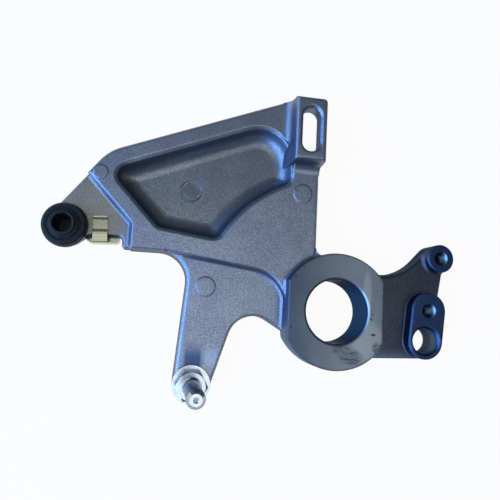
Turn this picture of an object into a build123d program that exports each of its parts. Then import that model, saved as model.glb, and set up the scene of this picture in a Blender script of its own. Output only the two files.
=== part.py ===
from build123d import *
import os
from math import atan2, cos, degrees, hypot, radians, sin, sqrt, tan

# Rear brake caliper bracket of a motorcycle, with its slide pin, pin boot and pad retainer.
# The bracket is one aluminium die casting that lies flat on its back. The origin is on the
# axle bore's axis in the back plane, +Z points out of the front, and +X runs towards the
# arm of the wheel speed sensor. All sizes are millimetres.

# Axle boss
bore_r = 14.0
bore_chamfer = 0.8
bore_back_chamfer = 0.4
boss_r = 25.4
boss_t = 19.0
boss_flat_left = 22.1
boss_flat_right = 21.2
boss_back_r = 20.0
boss_rim_t = 11.5
boss_edge = 0.4
boss_foot = 1.0

# Front levels of the casting
plate_t = 13.0
arm_t = 10.5
leg_t = 8.0
sensor_arm_t = 8.0
lug_t = 22.0
pad_t = 14.0
line_boss_t = 12.0

# Main plate
plate_low_y = 21.8
plate_right_x = -8.8
plate_corner = (-102.2, 63.2)
plate_corner_r = 20.0
plate_top_angle = 22.1
plate_top_r = 15.0
notch_x = -93.8
notch_r = 1.3
web_boss_r = 3.0
edge_cut = 0.9

# Left arm with the pin boot
boot_axis = (-117.3, 29.7)
arm_end_r = 8.2
arm_low_y = 26.7
arm_diagonal = 52.8
arm_inner_r = 2.0
arm_blend_r = 12.0
arm_back = 4.0
arm_step_top = (-109.5, 52.3)
arm_step_knee = (-90.6, 32.6)
arm_step_knee_r = 2.0
step_foot = 1.0

# Leg with the slide pin
pin_axis = (-60.6, -34.1)
leg_end_r = 8.0
leg_left_lean = 3.9
leg_right_lean = 17.0
leg_neck_r = 12.5
leg_round_r = 2.5
leg_round_turn = 60.0
leg_step_start = (-78.0, 22.2)
leg_step_slope = -7.5
leg_step_x = -21.4
leg_step_r = 17.0
arch_foot = (-22.4, -9.1)
arch_foot_angle = 150.0
arch_r = 11.6

# Pocket in the main plate
pocket_floor = 5.0
pocket_rim = 7.4
pocket_side_rim = 7.3
pocket_low = (-56.0, 28.5)
pocket_web = 34.6
pocket_end_x = -21.3
pocket_draft = 20.0
pocket_floor_r = 6.5
pocket_corner_r = 5.0
pocket_top_r = 15.0
pocket_edge = 1.0

# Stop lug with its slot
lug_left_x = -22.3
lug_right_x = -8.3
lug_low_y = 65.6
lug_top_y = 94.3
lug_side_draft = 8.0
lug_low_draft = 4.5
lug_corner_r = 1.8
lug_edge_r = 1.4
lug_foot_r = 4.0
ear_t = 7.0
ear_start = (-19.9, 68.8)
ear_corner_r = 3.0
slot_width = 8.0
slot_length = 20.0
slot_centre = (-15.4, 79.6)
slot_edge = 1.1

# Sensor arm
sensor_axis = (44.2, -11.2)
sensor_screw_axis = (45.6, 2.6)
line_screw_axis = (52.5, 27.4)
sensor_bore_r = 6.0
sensor_bore_chamfer = 0.9
pad_end_r = 8.3
line_boss_r = 6.6
screw_minor_r = 2.5
screw_mouth_r = 3.3
arm_curve_r = 25.9
arm_curve_y = 18.3
arm_neck_angle = 47.2
arm_low_angle = 1.6
neck_pad_angle = 32.0
neck_boss_angle = -67.0
arm_round_r = 2.2
raised_foot = 1.0
raised_edge = 0.6

# Ejector marks: centre, radius and the level that they stand on
mark_h = 0.3
leg_mark = (-56.9, 7.8)
lug_mark = (-16.1, 52.0)
mark_r = 4.2
corner_mark = (-104.8, 53.5)
corner_mark_r = 3.05
pocket_mark = (-65.9, 50.5)
pocket_mark_r = 4.8

# Slide pin
pin_flange_r = 8.16
pin_flange_t = 1.5
pin_hex = 12.0
pin_hex_t = 6.6
pin_hex_face_r = 5.83
pin_hex_bevel = 30.0
pin_collar_r = 4.1
pin_collar_t = 0.8
pin_shaft_r = 3.6
pin_reach = 36.5
pin_tip_r = 2.35
pin_tip_l = 2.4
pin_centre_r = 1.1
pin_shank_r = 4.0
pin_shank_inset = 0.6
pin_clearance = 0.05

# Pin boot
boot_sleeve_r = 6.2
boot_clearance = 0.05
boot_base_r = 9.26
boot_base_t = 2.2
boot_groove_r = 8.3
boot_groove_t = 0.7
boot_ring_r = 8.9
boot_ring_t = 2.2
boot_shoulder = 0.7
boot_valley_r = 6.8
boot_valley_t = 0.4
boot_step_r = 6.0
boot_step_t = 1.4
boot_lip_foot_r = 5.2
boot_lip_r = 4.9
boot_lip_t = 3.2
boot_hole_r = 3.9
boot_floor_t = 1.4
boot_bead_t = 1.6
boot_bead_r = 7.4

# Pad retainer
clip_t = 0.5
clip_offset = 0.77
clip_turn = 3.0
clip_width = (6.3, 7.8)
clip_flat_w = (3.7, 6.9)
clip_wing_y = -1.4
clip_wing_gap = 0.2
clip_tongue_w = 6.1
clip_tongue_l = 8.5
clip_tongue_corner_r = 1.4
clip_bulge = 3.0
clip_hump = 0.9
clip_hump_y = 1.5
clip_curl = 0.95
clip_back_l = 6.0
clip_bend_r = 0.5


def line_point(start, angle, length):
    """The point at a length along a line from start."""
    return (start[0] + length * cos(radians(angle)), start[1] + length * sin(radians(angle)))


def crossing(point_a, angle_a, point_b, angle_b):
    """The point where two lines in a plane meet."""
    ax, ay = cos(radians(angle_a)), sin(radians(angle_a))
    bx, by = cos(radians(angle_b)), sin(radians(angle_b))
    dx, dy = point_b[0] - point_a[0], point_b[1] - point_a[1]
    along = (dx * by - dy * bx) / (ax * by - ay * bx)
    return (point_a[0] + along * ax, point_a[1] + along * ay)


def at_height(faces, height):
    """The faces that lie level at a height."""
    return faces.filter_by(Axis.Z).filter_by(lambda face: abs(face.center().Z - height) < 0.01)


def step_edges(faces, height, left, low):
    """The edges of a core's level face that lie inside the casting, away from its two far sides."""
    level_edges = at_height(faces, height).edges()
    return level_edges.filter_by(
        lambda edge: edge.center().X > left + 0.01 and edge.center().Y > low + 0.01
    )


def edge_core(path, ground, level, size, rounded):
    """The core that rounds or bevels the edge along a path, which has the casting on its left side."""
    start_dir = path % 0
    with BuildPart() as core:
        add(path)
        with BuildSketch(Plane(origin=path @ 0, x_dir=(-start_dir.Y, start_dir.X, 0), z_dir=start_dir)):
            with Locations((0, level)):
                Rectangle(2.0 * size, 2.0 * size)
            if rounded:
                with Locations((size, level - size)):
                    Circle(size, mode=Mode.SUBTRACT)
            else:
                bevel = ((0, level - size), (size, level - size), (size, level))
                Polygon(*bevel, align=None, mode=Mode.SUBTRACT)
        sweep()
        with BuildSketch():
            add(ground)
        extrude(amount=boss_t, mode=Mode.INTERSECT)
    return core.part


def raised(ground, outline, level, height, edge, foot):
    """A raised shape with a sloped edge and foot, kept within the ground that it stands on."""
    with BuildPart() as shape:
        with BuildSketch(Plane.XY.offset(level)):
            add(outline)
        extrude(amount=height)
        chamfer(at_height(shape.faces(), level + height).edges(), edge)
        with BuildSketch(Plane.XY.offset(level)) as foot_outline:
            offset(outline, foot, kind=Kind.INTERSECTION)
        extrude(amount=foot, taper=45.0)
        with BuildSketch():
            add(foot_outline.sketch)
        extrude(amount=level)
        with BuildSketch():
            add(foot_outline.sketch)
            add(ground, mode=Mode.INTERSECT)
        extrude(amount=level + height, mode=Mode.INTERSECT)
    return shape.part


# Outline of the web: the main plate, the left arm and the leg in one face
leg_left_dir = 90.0 - leg_left_lean
leg_right_dir = 90.0 - leg_right_lean
leg_left_foot = line_point(pin_axis, leg_left_dir + 90.0, leg_end_r)
leg_right_foot = line_point(pin_axis, leg_right_dir - 90.0, leg_end_r)
leg_neck = crossing(leg_left_foot, leg_left_dir, (notch_x, plate_low_y), 0.0)
arch_corner = crossing(leg_right_foot, leg_right_dir, arch_foot, arch_foot_angle)
arch_end = line_point(arch_corner, arch_foot_angle - 180.0, 3.0 * arch_r)
leg_right_turn = 180.0 - leg_round_turn - (leg_left_dir - leg_right_dir)
arm_shoulder = line_point(boot_axis, arm_diagonal + 90.0, arm_end_r)
plate_top = crossing(plate_corner, plate_top_angle, (0.0, lug_top_y), 0.0)
arm_blend_y = arm_low_y - arm_blend_r
arm_blend_dx = sqrt((arm_end_r + arm_blend_r) ** 2 - (arm_blend_y - boot_axis[1]) ** 2)
arm_blend_centre = (boot_axis[0] + arm_blend_dx, arm_blend_y)

with BuildSketch() as web_outline:
    with BuildLine():
        FilletPolyline(
            (notch_x, plate_low_y),
            leg_neck,
            leg_left_foot,
            leg_right_foot,
            arch_corner,
            arch_end,
            (plate_right_x, 0.0),
            (plate_right_x, lug_top_y),
            plate_top,
            plate_corner,
            arm_shoulder,
            boot_axis,
            (boot_axis[0], arm_low_y),
            (notch_x, arm_low_y),
            radius=[notch_r, leg_neck_r, 0, 0, arch_r, 0, 0]
            + [0, plate_top_r, plate_corner_r, 0, 0, 0, arm_inner_r],
            close=True,
        )
    make_face()
    with Locations(pin_axis):
        Circle(leg_end_r)
    with Locations(boot_axis):
        Circle(arm_end_r)
    with BuildLine():
        Polyline(boot_axis, arm_blend_centre, (arm_blend_centre[0], arm_low_y), close=True)
    make_face()
    with Locations(arm_blend_centre):
        Circle(arm_blend_r, mode=Mode.SUBTRACT)


# Regions of the leg and of the left arm, bounded by their steps from the main plate
leg_step_begin = crossing(leg_step_start, leg_step_slope, (0.0, plate_low_y), 0.0)
leg_step_corner = crossing(leg_step_start, leg_step_slope, (leg_step_x, 0.0), 90.0)
below = pin_axis[1] - 3.0 * leg_end_r
with BuildSketch() as leg_region:
    with BuildLine():
        FilletPolyline(
            (leg_step_begin[0], below),
            leg_step_begin,
            leg_step_corner,
            (leg_step_x, below),
            radius=[0, 0, leg_step_r, 0],
            close=True,
        )
    make_face()

step_dir = degrees(atan2(arm_step_knee[1] - arm_step_top[1], arm_step_knee[0] - arm_step_top[0]))
far_left = boot_axis[0] - 3.0 * arm_end_r
arm_step_out = line_point(arm_step_top, step_dir, -2.0 * arm_end_r)
with BuildSketch() as arm_region:
    with BuildLine():
        FilletPolyline(
            arm_step_out,
            arm_step_knee,
            (arm_step_knee[0], 0.0),
            (far_left, 0.0),
            (far_left, arm_step_out[1]),
            radius=[0, arm_step_knee_r, 0, 0, 0],
            close=True,
        )
    make_face()

# Die cores that leave the two lower levels, with a sloped foot along each step
with BuildPart() as leg_core:
    with BuildSketch(Plane.XY.offset(leg_t)):
        add(leg_region.sketch)
    extrude(amount=boss_t)
    chamfer(step_edges(leg_core.faces(), leg_t, leg_step_begin[0], below), step_foot)

with BuildPart() as arm_core:
    with BuildSketch(Plane.XY.offset(arm_t)):
        add(arm_region.sketch)
    extrude(amount=boss_t)
    chamfer(step_edges(arm_core.faces(), arm_t, arm_step_out[0], 0.0), step_foot)

# Cores of the edges along the outline of the two lower levels
with BuildLine() as leg_left_edge:
    FilletPolyline(
        (leg_step_begin[0] - leg_neck_r, plate_low_y),
        leg_neck,
        leg_left_foot,
        radius=[leg_neck_r],
    )
    CenterArc(pin_axis, leg_end_r, leg_left_dir + 90.0, leg_round_turn)

with BuildLine() as leg_right_edge:
    CenterArc(pin_axis, leg_end_r, leg_left_dir + 90.0 + leg_round_turn, leg_right_turn)
    FilletPolyline(leg_right_foot, arch_corner, arch_end, radius=[arch_r])

with BuildLine() as arm_upper_edge:
    FilletPolyline(plate_top, plate_corner, arm_shoulder, radius=[plate_corner_r])

arm_blend_turn = degrees(atan2(arm_blend_dx, boot_axis[1] - arm_blend_y))
with BuildLine() as arm_lower_edge:
    CenterArc(arm_blend_centre, arm_blend_r, 90.0 + arm_blend_turn, -arm_blend_turn)
    FilletPolyline(
        (arm_blend_centre[0], arm_low_y),
        (notch_x, arm_low_y),
        (notch_x, plate_low_y),
        (leg_step_begin[0], plate_low_y),
        radius=[arm_inner_r, notch_r],
    )

leg_left_core = edge_core(leg_left_edge.line, leg_region.sketch, leg_t, leg_round_r, True)
leg_right_core = edge_core(leg_right_edge.line, leg_region.sketch, leg_t, edge_cut, False)
arm_upper_core = edge_core(arm_upper_edge.line, arm_region.sketch, arm_t, edge_cut, False)
arm_lower_core = edge_core(arm_lower_edge.line, arm_region.sketch, arm_t, edge_cut, False)

# Core of the pocket: drafted walls and a rounded floor, with its low right wall around the axle
pocket_arc_r = boss_r + pocket_web
pocket_top_line = line_point(plate_corner, plate_top_angle - 90.0, pocket_rim)
pocket_left_line = line_point(arm_step_knee, step_dir + 90.0, pocket_side_rim)
with BuildPart() as pocket_core:
    with BuildSketch(Plane.XY.offset(plate_t)) as pocket_mouth:
        with BuildLine():
            FilletPolyline(
                crossing(pocket_left_line, step_dir, pocket_top_line, plate_top_angle),
                crossing(pocket_left_line, step_dir, pocket_low, leg_step_slope),
                crossing(pocket_low, leg_step_slope, (pocket_end_x, 0.0), 90.0),
                crossing(pocket_top_line, plate_top_angle, (pocket_end_x, 0.0), 90.0),
                radius=[pocket_corner_r, pocket_corner_r, 0, pocket_top_r],
                close=True,
            )
        make_face()
        Circle(pocket_arc_r, mode=Mode.SUBTRACT)
        fillet(
            pocket_mouth.vertices().filter_by(lambda v: abs(hypot(v.X, v.Y) - pocket_arc_r) < 0.01),
            pocket_corner_r,
        )
    extrude(amount=pocket_floor - plate_t, taper=pocket_draft)
    fillet(at_height(pocket_core.faces(), pocket_floor).edges(), pocket_floor_r)

# Axle boss, drafted behind its rim to the ring that bears on the wheel side
with BuildSketch() as boss_outline:
    Circle(boss_r)
    with Locations(((boss_flat_right - boss_flat_left) / 2.0, 0)):
        Rectangle(boss_flat_right + boss_flat_left, 2.0 * boss_r, mode=Mode.INTERSECT)

with BuildPart() as axle_boss:
    add(boss_outline.sketch)
    extrude(amount=boss_t)
    with BuildSketch(Plane.XZ):
        with BuildLine():
            Polyline(
                (0, 0),
                (boss_back_r, 0),
                (boss_r, boss_t - boss_rim_t),
                (2.0 * boss_r, boss_t - boss_rim_t),
                (2.0 * boss_r, boss_t),
                (0, boss_t),
                close=True,
            )
        make_face()
    revolve(axis=Axis.Z, mode=Mode.INTERSECT)
    chamfer(at_height(axle_boss.faces(), boss_t).edges(), boss_edge)

# Corner between the main plate's right side and the axle boss
corner_centre_x = plate_right_x + web_boss_r
corner_centre = (corner_centre_x, sqrt((boss_r + web_boss_r) ** 2 - corner_centre_x**2))
with BuildSketch() as boss_corner:
    with BuildLine():
        Polyline((0, 0), (plate_right_x, 0), (plate_right_x, corner_centre[1]), corner_centre, close=True)
    make_face()
    with Locations(corner_centre):
        Circle(web_boss_r, mode=Mode.SUBTRACT)

# Sensor arm: a thin plate with the sensor's pad and the boss of the brake line's screw
with BuildSketch() as pad_outline:
    with Locations(sensor_axis, sensor_screw_axis):
        Circle(pad_end_r)
    make_hull()

with BuildSketch() as line_boss_outline:
    with Locations(line_screw_axis):
        Circle(line_boss_r)

# The upper side leaves the line boss in a straight line and turns in one curve to the axle boss
arm_low_touch = line_point(sensor_axis, arm_low_angle - 90.0, pad_end_r)
boss_touch = line_point(line_screw_axis, arm_neck_angle + 90.0, line_boss_r)
arm_bend = crossing(boss_touch, arm_neck_angle, (0.0, arm_curve_y), 0.0)
with BuildSketch() as arm_outline:
    add(pad_outline.sketch)
    add(line_boss_outline.sketch)
    with BuildLine():
        FilletPolyline(
            line_point(arm_low_touch, arm_low_angle + 180.0, sensor_axis[0]),
            arm_low_touch,
            sensor_axis,
            sensor_screw_axis,
            line_point(sensor_screw_axis, neck_pad_angle, pad_end_r),
            line_point(line_screw_axis, neck_boss_angle, line_boss_r),
            line_screw_axis,
            boss_touch,
            arm_bend,
            (0.0, arm_curve_y),
            radius=[0, 0, 0, 0, 0, 0, 0, 0, arm_curve_r, 0],
            close=True,
        )
    make_face()

with BuildPart() as sensor_arm:
    add(arm_outline.sketch)
    extrude(amount=sensor_arm_t)
    top_edges = at_height(sensor_arm.faces(), sensor_arm_t).edges()
    top_arcs = top_edges.filter_by(GeomType.CIRCLE)
    fillet(top_arcs.filter_by(lambda edge: abs(edge.radius - arm_curve_r) < 0.01), arm_round_r)
    for outline, top in ((pad_outline, pad_t), (line_boss_outline, line_boss_t)):
        height = top - sensor_arm_t
        add(raised(arm_outline.sketch, outline.sketch, sensor_arm_t, height, raised_edge, raised_foot))

# Stop lug: a drafted block
lug_base_x = lug_left_x - lug_t * tan(radians(lug_side_draft))
lug_base_y = lug_low_y - lug_t * tan(radians(lug_low_draft))
with BuildPart() as lug_block:
    with BuildSketch(Plane.XZ):
        with BuildLine():
            Polyline(
                (lug_left_x, lug_t),
                (lug_base_x, 0),
                (lug_right_x, 0),
                (lug_right_x, lug_t),
                close=True,
            )
        make_face()
    extrude(amount=-lug_top_y)
    with BuildSketch(Plane.YZ):
        with BuildLine():
            Polyline((lug_low_y, lug_t), (lug_base_y, 0), (lug_top_y, 0), (lug_top_y, lug_t), close=True)
        make_face()
    extrude(amount=lug_base_x, mode=Mode.INTERSECT)

# Rounded foot of the stop lug on the main plate, open towards the pocket
lug_foot_x = lug_left_x - (lug_t - plate_t) * tan(radians(lug_side_draft))
lug_foot_y = lug_low_y - (lug_t - plate_t) * tan(radians(lug_low_draft))
lug_foot_dx = lug_foot_r * tan(radians((90.0 - lug_side_draft) / 2.0))
lug_foot_dy = lug_foot_r * tan(radians((90.0 - lug_low_draft) / 2.0))
with BuildPart() as lug:
    add(lug_block.part)
    with BuildSketch(Plane.XY.offset(plate_t)):
        with Locations((lug_right_x, lug_top_y)):
            Rectangle(
                lug_right_x - lug_foot_x + 3.0 * lug_foot_dx,
                lug_top_y - lug_foot_y + 3.0 * lug_foot_dy,
                align=(Align.MAX, Align.MAX),
            )
    extrude(amount=-lug_foot_r)
    foot_edges = at_height(lug.faces(), plate_t).edges()
    fillet(
        foot_edges.filter_by(
            lambda edge: edge.center().X > lug_base_x and edge.center().Y > lug_base_y
        ),
        lug_foot_r,
    )
    with BuildSketch():
        with Locations((plate_right_x, lug_top_y)):
            Rectangle(
                plate_right_x - lug_foot_x + lug_foot_dx,
                lug_top_y - lug_foot_y + lug_foot_dy,
                align=(Align.MAX, Align.MAX),
            )
        add(web_outline.sketch, mode=Mode.INTERSECT)
        with Locations((lug_right_x, lug_top_y)):
            Rectangle(
                lug_right_x - plate_right_x,
                lug_top_y - lug_foot_y + lug_foot_dy,
                align=(Align.MAX, Align.MAX),
            )
    extrude(amount=lug_t, mode=Mode.INTERSECT)
    add(pocket_core.part, mode=Mode.SUBTRACT)
    add(lug_block.part)
    corner_edges = lug.edges().filter_by(Axis.Z).group_by(Axis.X)[-1].group_by(Axis.Y)[-1]
    fillet(corner_edges, lug_corner_r)
    fillet(at_height(lug.faces(), lug_t).edges(), lug_edge_r)

# Grounds that the axle boss stands on with its rounded foot
with BuildSketch() as plate_ground:
    add(web_outline.sketch)
    add(leg_region.sketch, mode=Mode.SUBTRACT)

with BuildSketch() as leg_ground:
    add(web_outline.sketch)
    add(leg_region.sketch, mode=Mode.INTERSECT)

boss_feet = [
    raised(ground.sketch, boss_outline.sketch, level, boss_t - level, boss_edge, boss_foot)
    for ground, level in ((plate_ground, plate_t), (leg_ground, leg_t), (arm_outline, sensor_arm_t))
]

# The bracket: its levels, pocket, bosses, lug and holes
with BuildPart() as bracket:
    add(web_outline.sketch)
    extrude(amount=plate_t)
    add(leg_core.part, mode=Mode.SUBTRACT)
    add(arm_core.part, mode=Mode.SUBTRACT)
    chamfer(at_height(bracket.faces(), plate_t).edges(), edge_cut)
    for core in (leg_left_core, leg_right_core, arm_upper_core, arm_lower_core):
        add(core, mode=Mode.SUBTRACT)
    add(pocket_core.part, mode=Mode.SUBTRACT)
    chamfer(at_height(bracket.faces(), plate_t)[0].inner_wires()[0].edges(), pocket_edge)
    with BuildSketch():
        add(arm_region.sketch)
    extrude(amount=arm_back, mode=Mode.SUBTRACT)
    with BuildSketch():
        add(boss_corner.sketch)
    extrude(amount=plate_t)
    for foot in boss_feet:
        add(foot)
    add(sensor_arm.part)
    add(axle_boss.part)
    add(lug.part)
    # Space behind the lug's ear, and the slot through the ear
    with BuildSketch() as ear_space:
        with Locations(ear_start):
            Rectangle(-ear_start[0], lug_top_y - ear_start[1] + ear_corner_r, align=Align.MIN)
        fillet(ear_space.vertices().group_by(Axis.X)[0].sort_by(Axis.Y)[0], ear_corner_r)
    extrude(amount=lug_t - ear_t, mode=Mode.SUBTRACT)
    with BuildSketch(Plane.XY.offset(lug_t)):
        with Locations(slot_centre):
            SlotOverall(slot_length, slot_width, rotation=90)
    extrude(amount=-ear_t, mode=Mode.SUBTRACT)
    chamfer(at_height(bracket.faces(), lug_t)[0].inner_wires()[0].edges(), slot_edge)
    # Axle bore with a chamfer at both mouths
    Cylinder(bore_r, boss_t, align=(Align.CENTER, Align.CENTER, Align.MIN), mode=Mode.SUBTRACT)
    mouths = bracket.edges().filter_by(GeomType.CIRCLE)
    mouths = mouths.filter_by(lambda edge: abs(edge.radius - bore_r) < 0.01).sort_by(Axis.Z)
    chamfer(mouths[-1], bore_chamfer)
    chamfer(mouths[0], bore_back_chamfer)
    # Bore of the wheel speed sensor, chamfered in front
    with Locations((sensor_axis[0], sensor_axis[1], pad_t)):
        CounterSinkHole(sensor_bore_r, sensor_bore_r + sensor_bore_chamfer)
    # Threaded holes of the sensor's and the brake line's screws
    with Locations((sensor_screw_axis[0], sensor_screw_axis[1], pad_t)):
        CounterSinkHole(screw_minor_r, screw_mouth_r)
    with Locations((line_screw_axis[0], line_screw_axis[1], line_boss_t)):
        CounterSinkHole(screw_minor_r, screw_mouth_r)
    # Holes of the slide pin and of the pin boot
    with Locations((pin_axis[0], pin_axis[1], leg_t)):
        Hole(pin_shank_r + pin_clearance)
    with Locations((boot_axis[0], boot_axis[1], arm_t)):
        Hole(boot_sleeve_r + boot_clearance)
    # Ejector marks, three raised and one sunk into the pocket's floor
    for mark, radius, level in (
        (leg_mark, mark_r, leg_t),
        (lug_mark, mark_r, plate_t),
        (corner_mark, corner_mark_r, plate_t),
    ):
        with BuildSketch(Plane.XY.offset(level - mark_h)):
            with Locations(mark):
                Circle(radius)
        extrude(amount=2.0 * mark_h)
    with BuildSketch(Plane.XY.offset(pocket_floor)):
        with Locations(pocket_mark):
            Circle(pocket_mark_r)
    extrude(amount=-mark_h, mode=Mode.SUBTRACT)

# Slide pin: a hexagon on a flange, a stepped shaft in front and a shank in the leg
pin_seat_z = leg_t + pin_flange_t
pin_hex_z = pin_seat_z + pin_hex_t
pin_tip_z = pin_seat_z + pin_reach
with BuildPart() as slide_pin:
    with BuildSketch(Plane.XY.offset(pin_seat_z)):
        RegularPolygon(pin_hex / 2.0, 6, major_radius=False)
    extrude(amount=pin_hex_t)
    with BuildSketch(Plane.XZ):
        with BuildLine():
            Polyline(
                (0, pin_seat_z),
                (pin_hex, pin_seat_z),
                (pin_hex, pin_hex_z - (pin_hex - pin_hex_face_r) * tan(radians(pin_hex_bevel))),
                (pin_hex_face_r, pin_hex_z),
                (0, pin_hex_z),
                close=True,
            )
        make_face()
    revolve(axis=Axis.Z, mode=Mode.INTERSECT)
    with BuildSketch(Plane.XZ):
        with BuildLine():
            Polyline(
                (0, pin_shank_inset),
                (pin_shank_r, pin_shank_inset),
                (pin_shank_r, leg_t),
                (pin_flange_r, leg_t),
                (pin_flange_r, pin_seat_z),
                (pin_collar_r, pin_seat_z),
                (pin_collar_r, pin_hex_z + pin_collar_t),
                (pin_shaft_r, pin_hex_z + 2.0 * pin_collar_t),
                (pin_shaft_r, pin_tip_z - pin_tip_l),
                (pin_tip_r, pin_tip_z),
                (pin_centre_r, pin_tip_z),
                (0, pin_tip_z - pin_centre_r),
                close=True,
            )
        make_face()
    revolve(axis=Axis.Z)

# Pin boot: a rubber sleeve through the arm, with a ringed front, a closed bottom and a bead behind
boot_back_z = arm_back - boot_bead_t
boot_groove_z = arm_t + boot_base_t
boot_ring_z = boot_groove_z + boot_groove_t
boot_face_z = boot_ring_z + boot_ring_t
boot_top_z = boot_face_z + boot_lip_t
with BuildPart() as pin_boot:
    with BuildSketch(Plane.XZ):
        with BuildLine():
            Polyline(
                (0, boot_back_z),
                (boot_bead_r, boot_back_z),
                (boot_bead_r, arm_back),
                (boot_sleeve_r, arm_back),
                (boot_sleeve_r, arm_t),
                (boot_base_r, arm_t),
                (boot_base_r, boot_groove_z),
                (boot_groove_r, boot_groove_z),
                (boot_groove_r, boot_ring_z),
                (boot_ring_r, boot_ring_z),
                (boot_ring_r, boot_face_z - boot_shoulder),
                (boot_ring_r - boot_shoulder, boot_face_z),
                (boot_valley_r, boot_face_z),
                (boot_valley_r, boot_face_z - boot_valley_t),
                (boot_step_r, boot_face_z - boot_valley_t),
                (boot_step_r, boot_face_z + boot_step_t),
                (boot_lip_foot_r, boot_face_z + boot_step_t),
                (boot_lip_r, boot_top_z),
                (boot_hole_r, boot_top_z),
                (boot_hole_r, boot_back_z + boot_floor_t),
                (0, boot_back_z + boot_floor_t),
                close=True,
            )
        make_face()
    revolve(axis=Axis.Z)

# Pad retainer: a spring sheet clipped over the arm's lower edge, with a tongue in front
clip_back_z = arm_back - clip_t / 2.0
clip_front_z = arm_t + clip_t / 2.0
clip_hump_z = clip_front_z + clip_hump
clip_curl_z = clip_front_z + clip_curl
with BuildPart() as pad_retainer:
    with BuildSketch(Plane.YZ):
        with BuildLine():
            FilletPolyline(
                (clip_tongue_l, clip_curl_z),
                (clip_tongue_l - clip_curl, clip_curl_z),
                (clip_tongue_l - 2.0 * clip_curl, clip_front_z),
                (clip_hump_y + clip_hump, clip_front_z),
                (clip_hump_y, clip_hump_z),
                (clip_hump_y - 1.5 * clip_hump, clip_hump_z),
                (-clip_bulge, clip_front_z),
                (-clip_bulge, clip_back_z),
                (clip_back_l, clip_back_z),
                radius=clip_bend_r,
            )
            offset(amount=clip_t / 2.0, side=Side.BOTH)
        make_face()
    extrude(amount=clip_tongue_w / 2.0, both=True)
    with BuildSketch():
        RectangleRounded(clip_tongue_w, 2.0 * clip_tongue_l, clip_tongue_corner_r)
    extrude(amount=boss_t, mode=Mode.INTERSECT)
    with BuildSketch(Plane.XY.offset(arm_back + clip_wing_gap)):
        with BuildLine():
            FilletPolyline(
                (-clip_width[0], clip_wing_y),
                (-clip_flat_w[0], -clip_bulge),
                (clip_flat_w[1], -clip_bulge),
                (clip_width[1], clip_wing_y),
                radius=clip_bend_r,
            )
            offset(amount=clip_t / 2.0, side=Side.BOTH)
        make_face()
    extrude(amount=arm_t - arm_back - 2.0 * clip_wing_gap)

os.makedirs("parts", exist_ok=True)
bracket.part.label = "bracket"
export_step(bracket.part, "parts/bracket.step")
pin = slide_pin.part.moved(Location((pin_axis[0], pin_axis[1], 0)))
pin.label = "slide_pin"
export_step(pin, "parts/slide_pin.step")
boot = pin_boot.part.moved(Location((boot_axis[0], boot_axis[1], 0)))
boot.label = "pin_boot"
export_step(boot, "parts/pin_boot.step")
clip_x = arm_blend_centre[0] + clip_offset
clip = pad_retainer.part.moved(Location((clip_x, arm_low_y, 0), (0, 0, clip_turn)))
clip.label = "pad_retainer"
export_step(clip, "parts/pad_retainer.step")
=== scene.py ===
# %% [markdown]
# # A rear brake caliper bracket, dressed on its CAD frame
# The bracket is a die casting of aluminium that lies on its flat back. A bright steel slide pin
# stands on its leg, a black rubber boot sits in its left arm, and a small spring clip lies beside
# the boot. The shapes come from the CAD model, so this lesson gives them their surfaces, adds the
# fine things that a CAD model leaves out, and sets up the light and the camera. The scene is in
# metres, and the sizes below are in millimetres, so each one is multiplied by MM.

import math

import bmesh
import bpy
from mathutils import Matrix, Vector
from mathutils.bvhtree import BVHTree
from mathutils.interpolate import poly_3d_calc


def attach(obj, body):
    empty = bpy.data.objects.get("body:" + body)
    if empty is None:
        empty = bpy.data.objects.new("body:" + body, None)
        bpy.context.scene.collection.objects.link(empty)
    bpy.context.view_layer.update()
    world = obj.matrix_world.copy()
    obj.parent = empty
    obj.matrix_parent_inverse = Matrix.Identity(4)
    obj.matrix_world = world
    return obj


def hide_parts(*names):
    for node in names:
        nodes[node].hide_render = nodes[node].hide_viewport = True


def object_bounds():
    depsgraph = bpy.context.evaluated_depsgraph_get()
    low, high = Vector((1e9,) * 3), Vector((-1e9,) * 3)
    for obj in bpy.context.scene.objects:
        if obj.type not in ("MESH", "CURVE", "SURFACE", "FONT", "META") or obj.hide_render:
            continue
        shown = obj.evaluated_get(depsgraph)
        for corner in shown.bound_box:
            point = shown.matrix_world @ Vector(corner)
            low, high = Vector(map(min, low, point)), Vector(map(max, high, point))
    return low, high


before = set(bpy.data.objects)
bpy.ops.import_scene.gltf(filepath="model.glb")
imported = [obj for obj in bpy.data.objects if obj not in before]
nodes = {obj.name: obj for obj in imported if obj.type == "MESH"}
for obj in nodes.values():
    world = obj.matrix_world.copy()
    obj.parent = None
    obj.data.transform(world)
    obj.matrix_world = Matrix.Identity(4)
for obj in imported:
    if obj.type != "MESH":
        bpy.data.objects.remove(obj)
cad_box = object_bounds()
MM = 0.001
print("nodes:", {name: len(node.data.polygons) for name, node in nodes.items()})

# %% [markdown]
# ## Sizes of the real pieces
# The cuts, marks and finishes below have to meet the casting, so its main sizes stand here once.
# They are measured from the axis of the bore and from the flat back. Each screw hole is listed
# with the name of its thread, its place and the turns of the thread.

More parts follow.
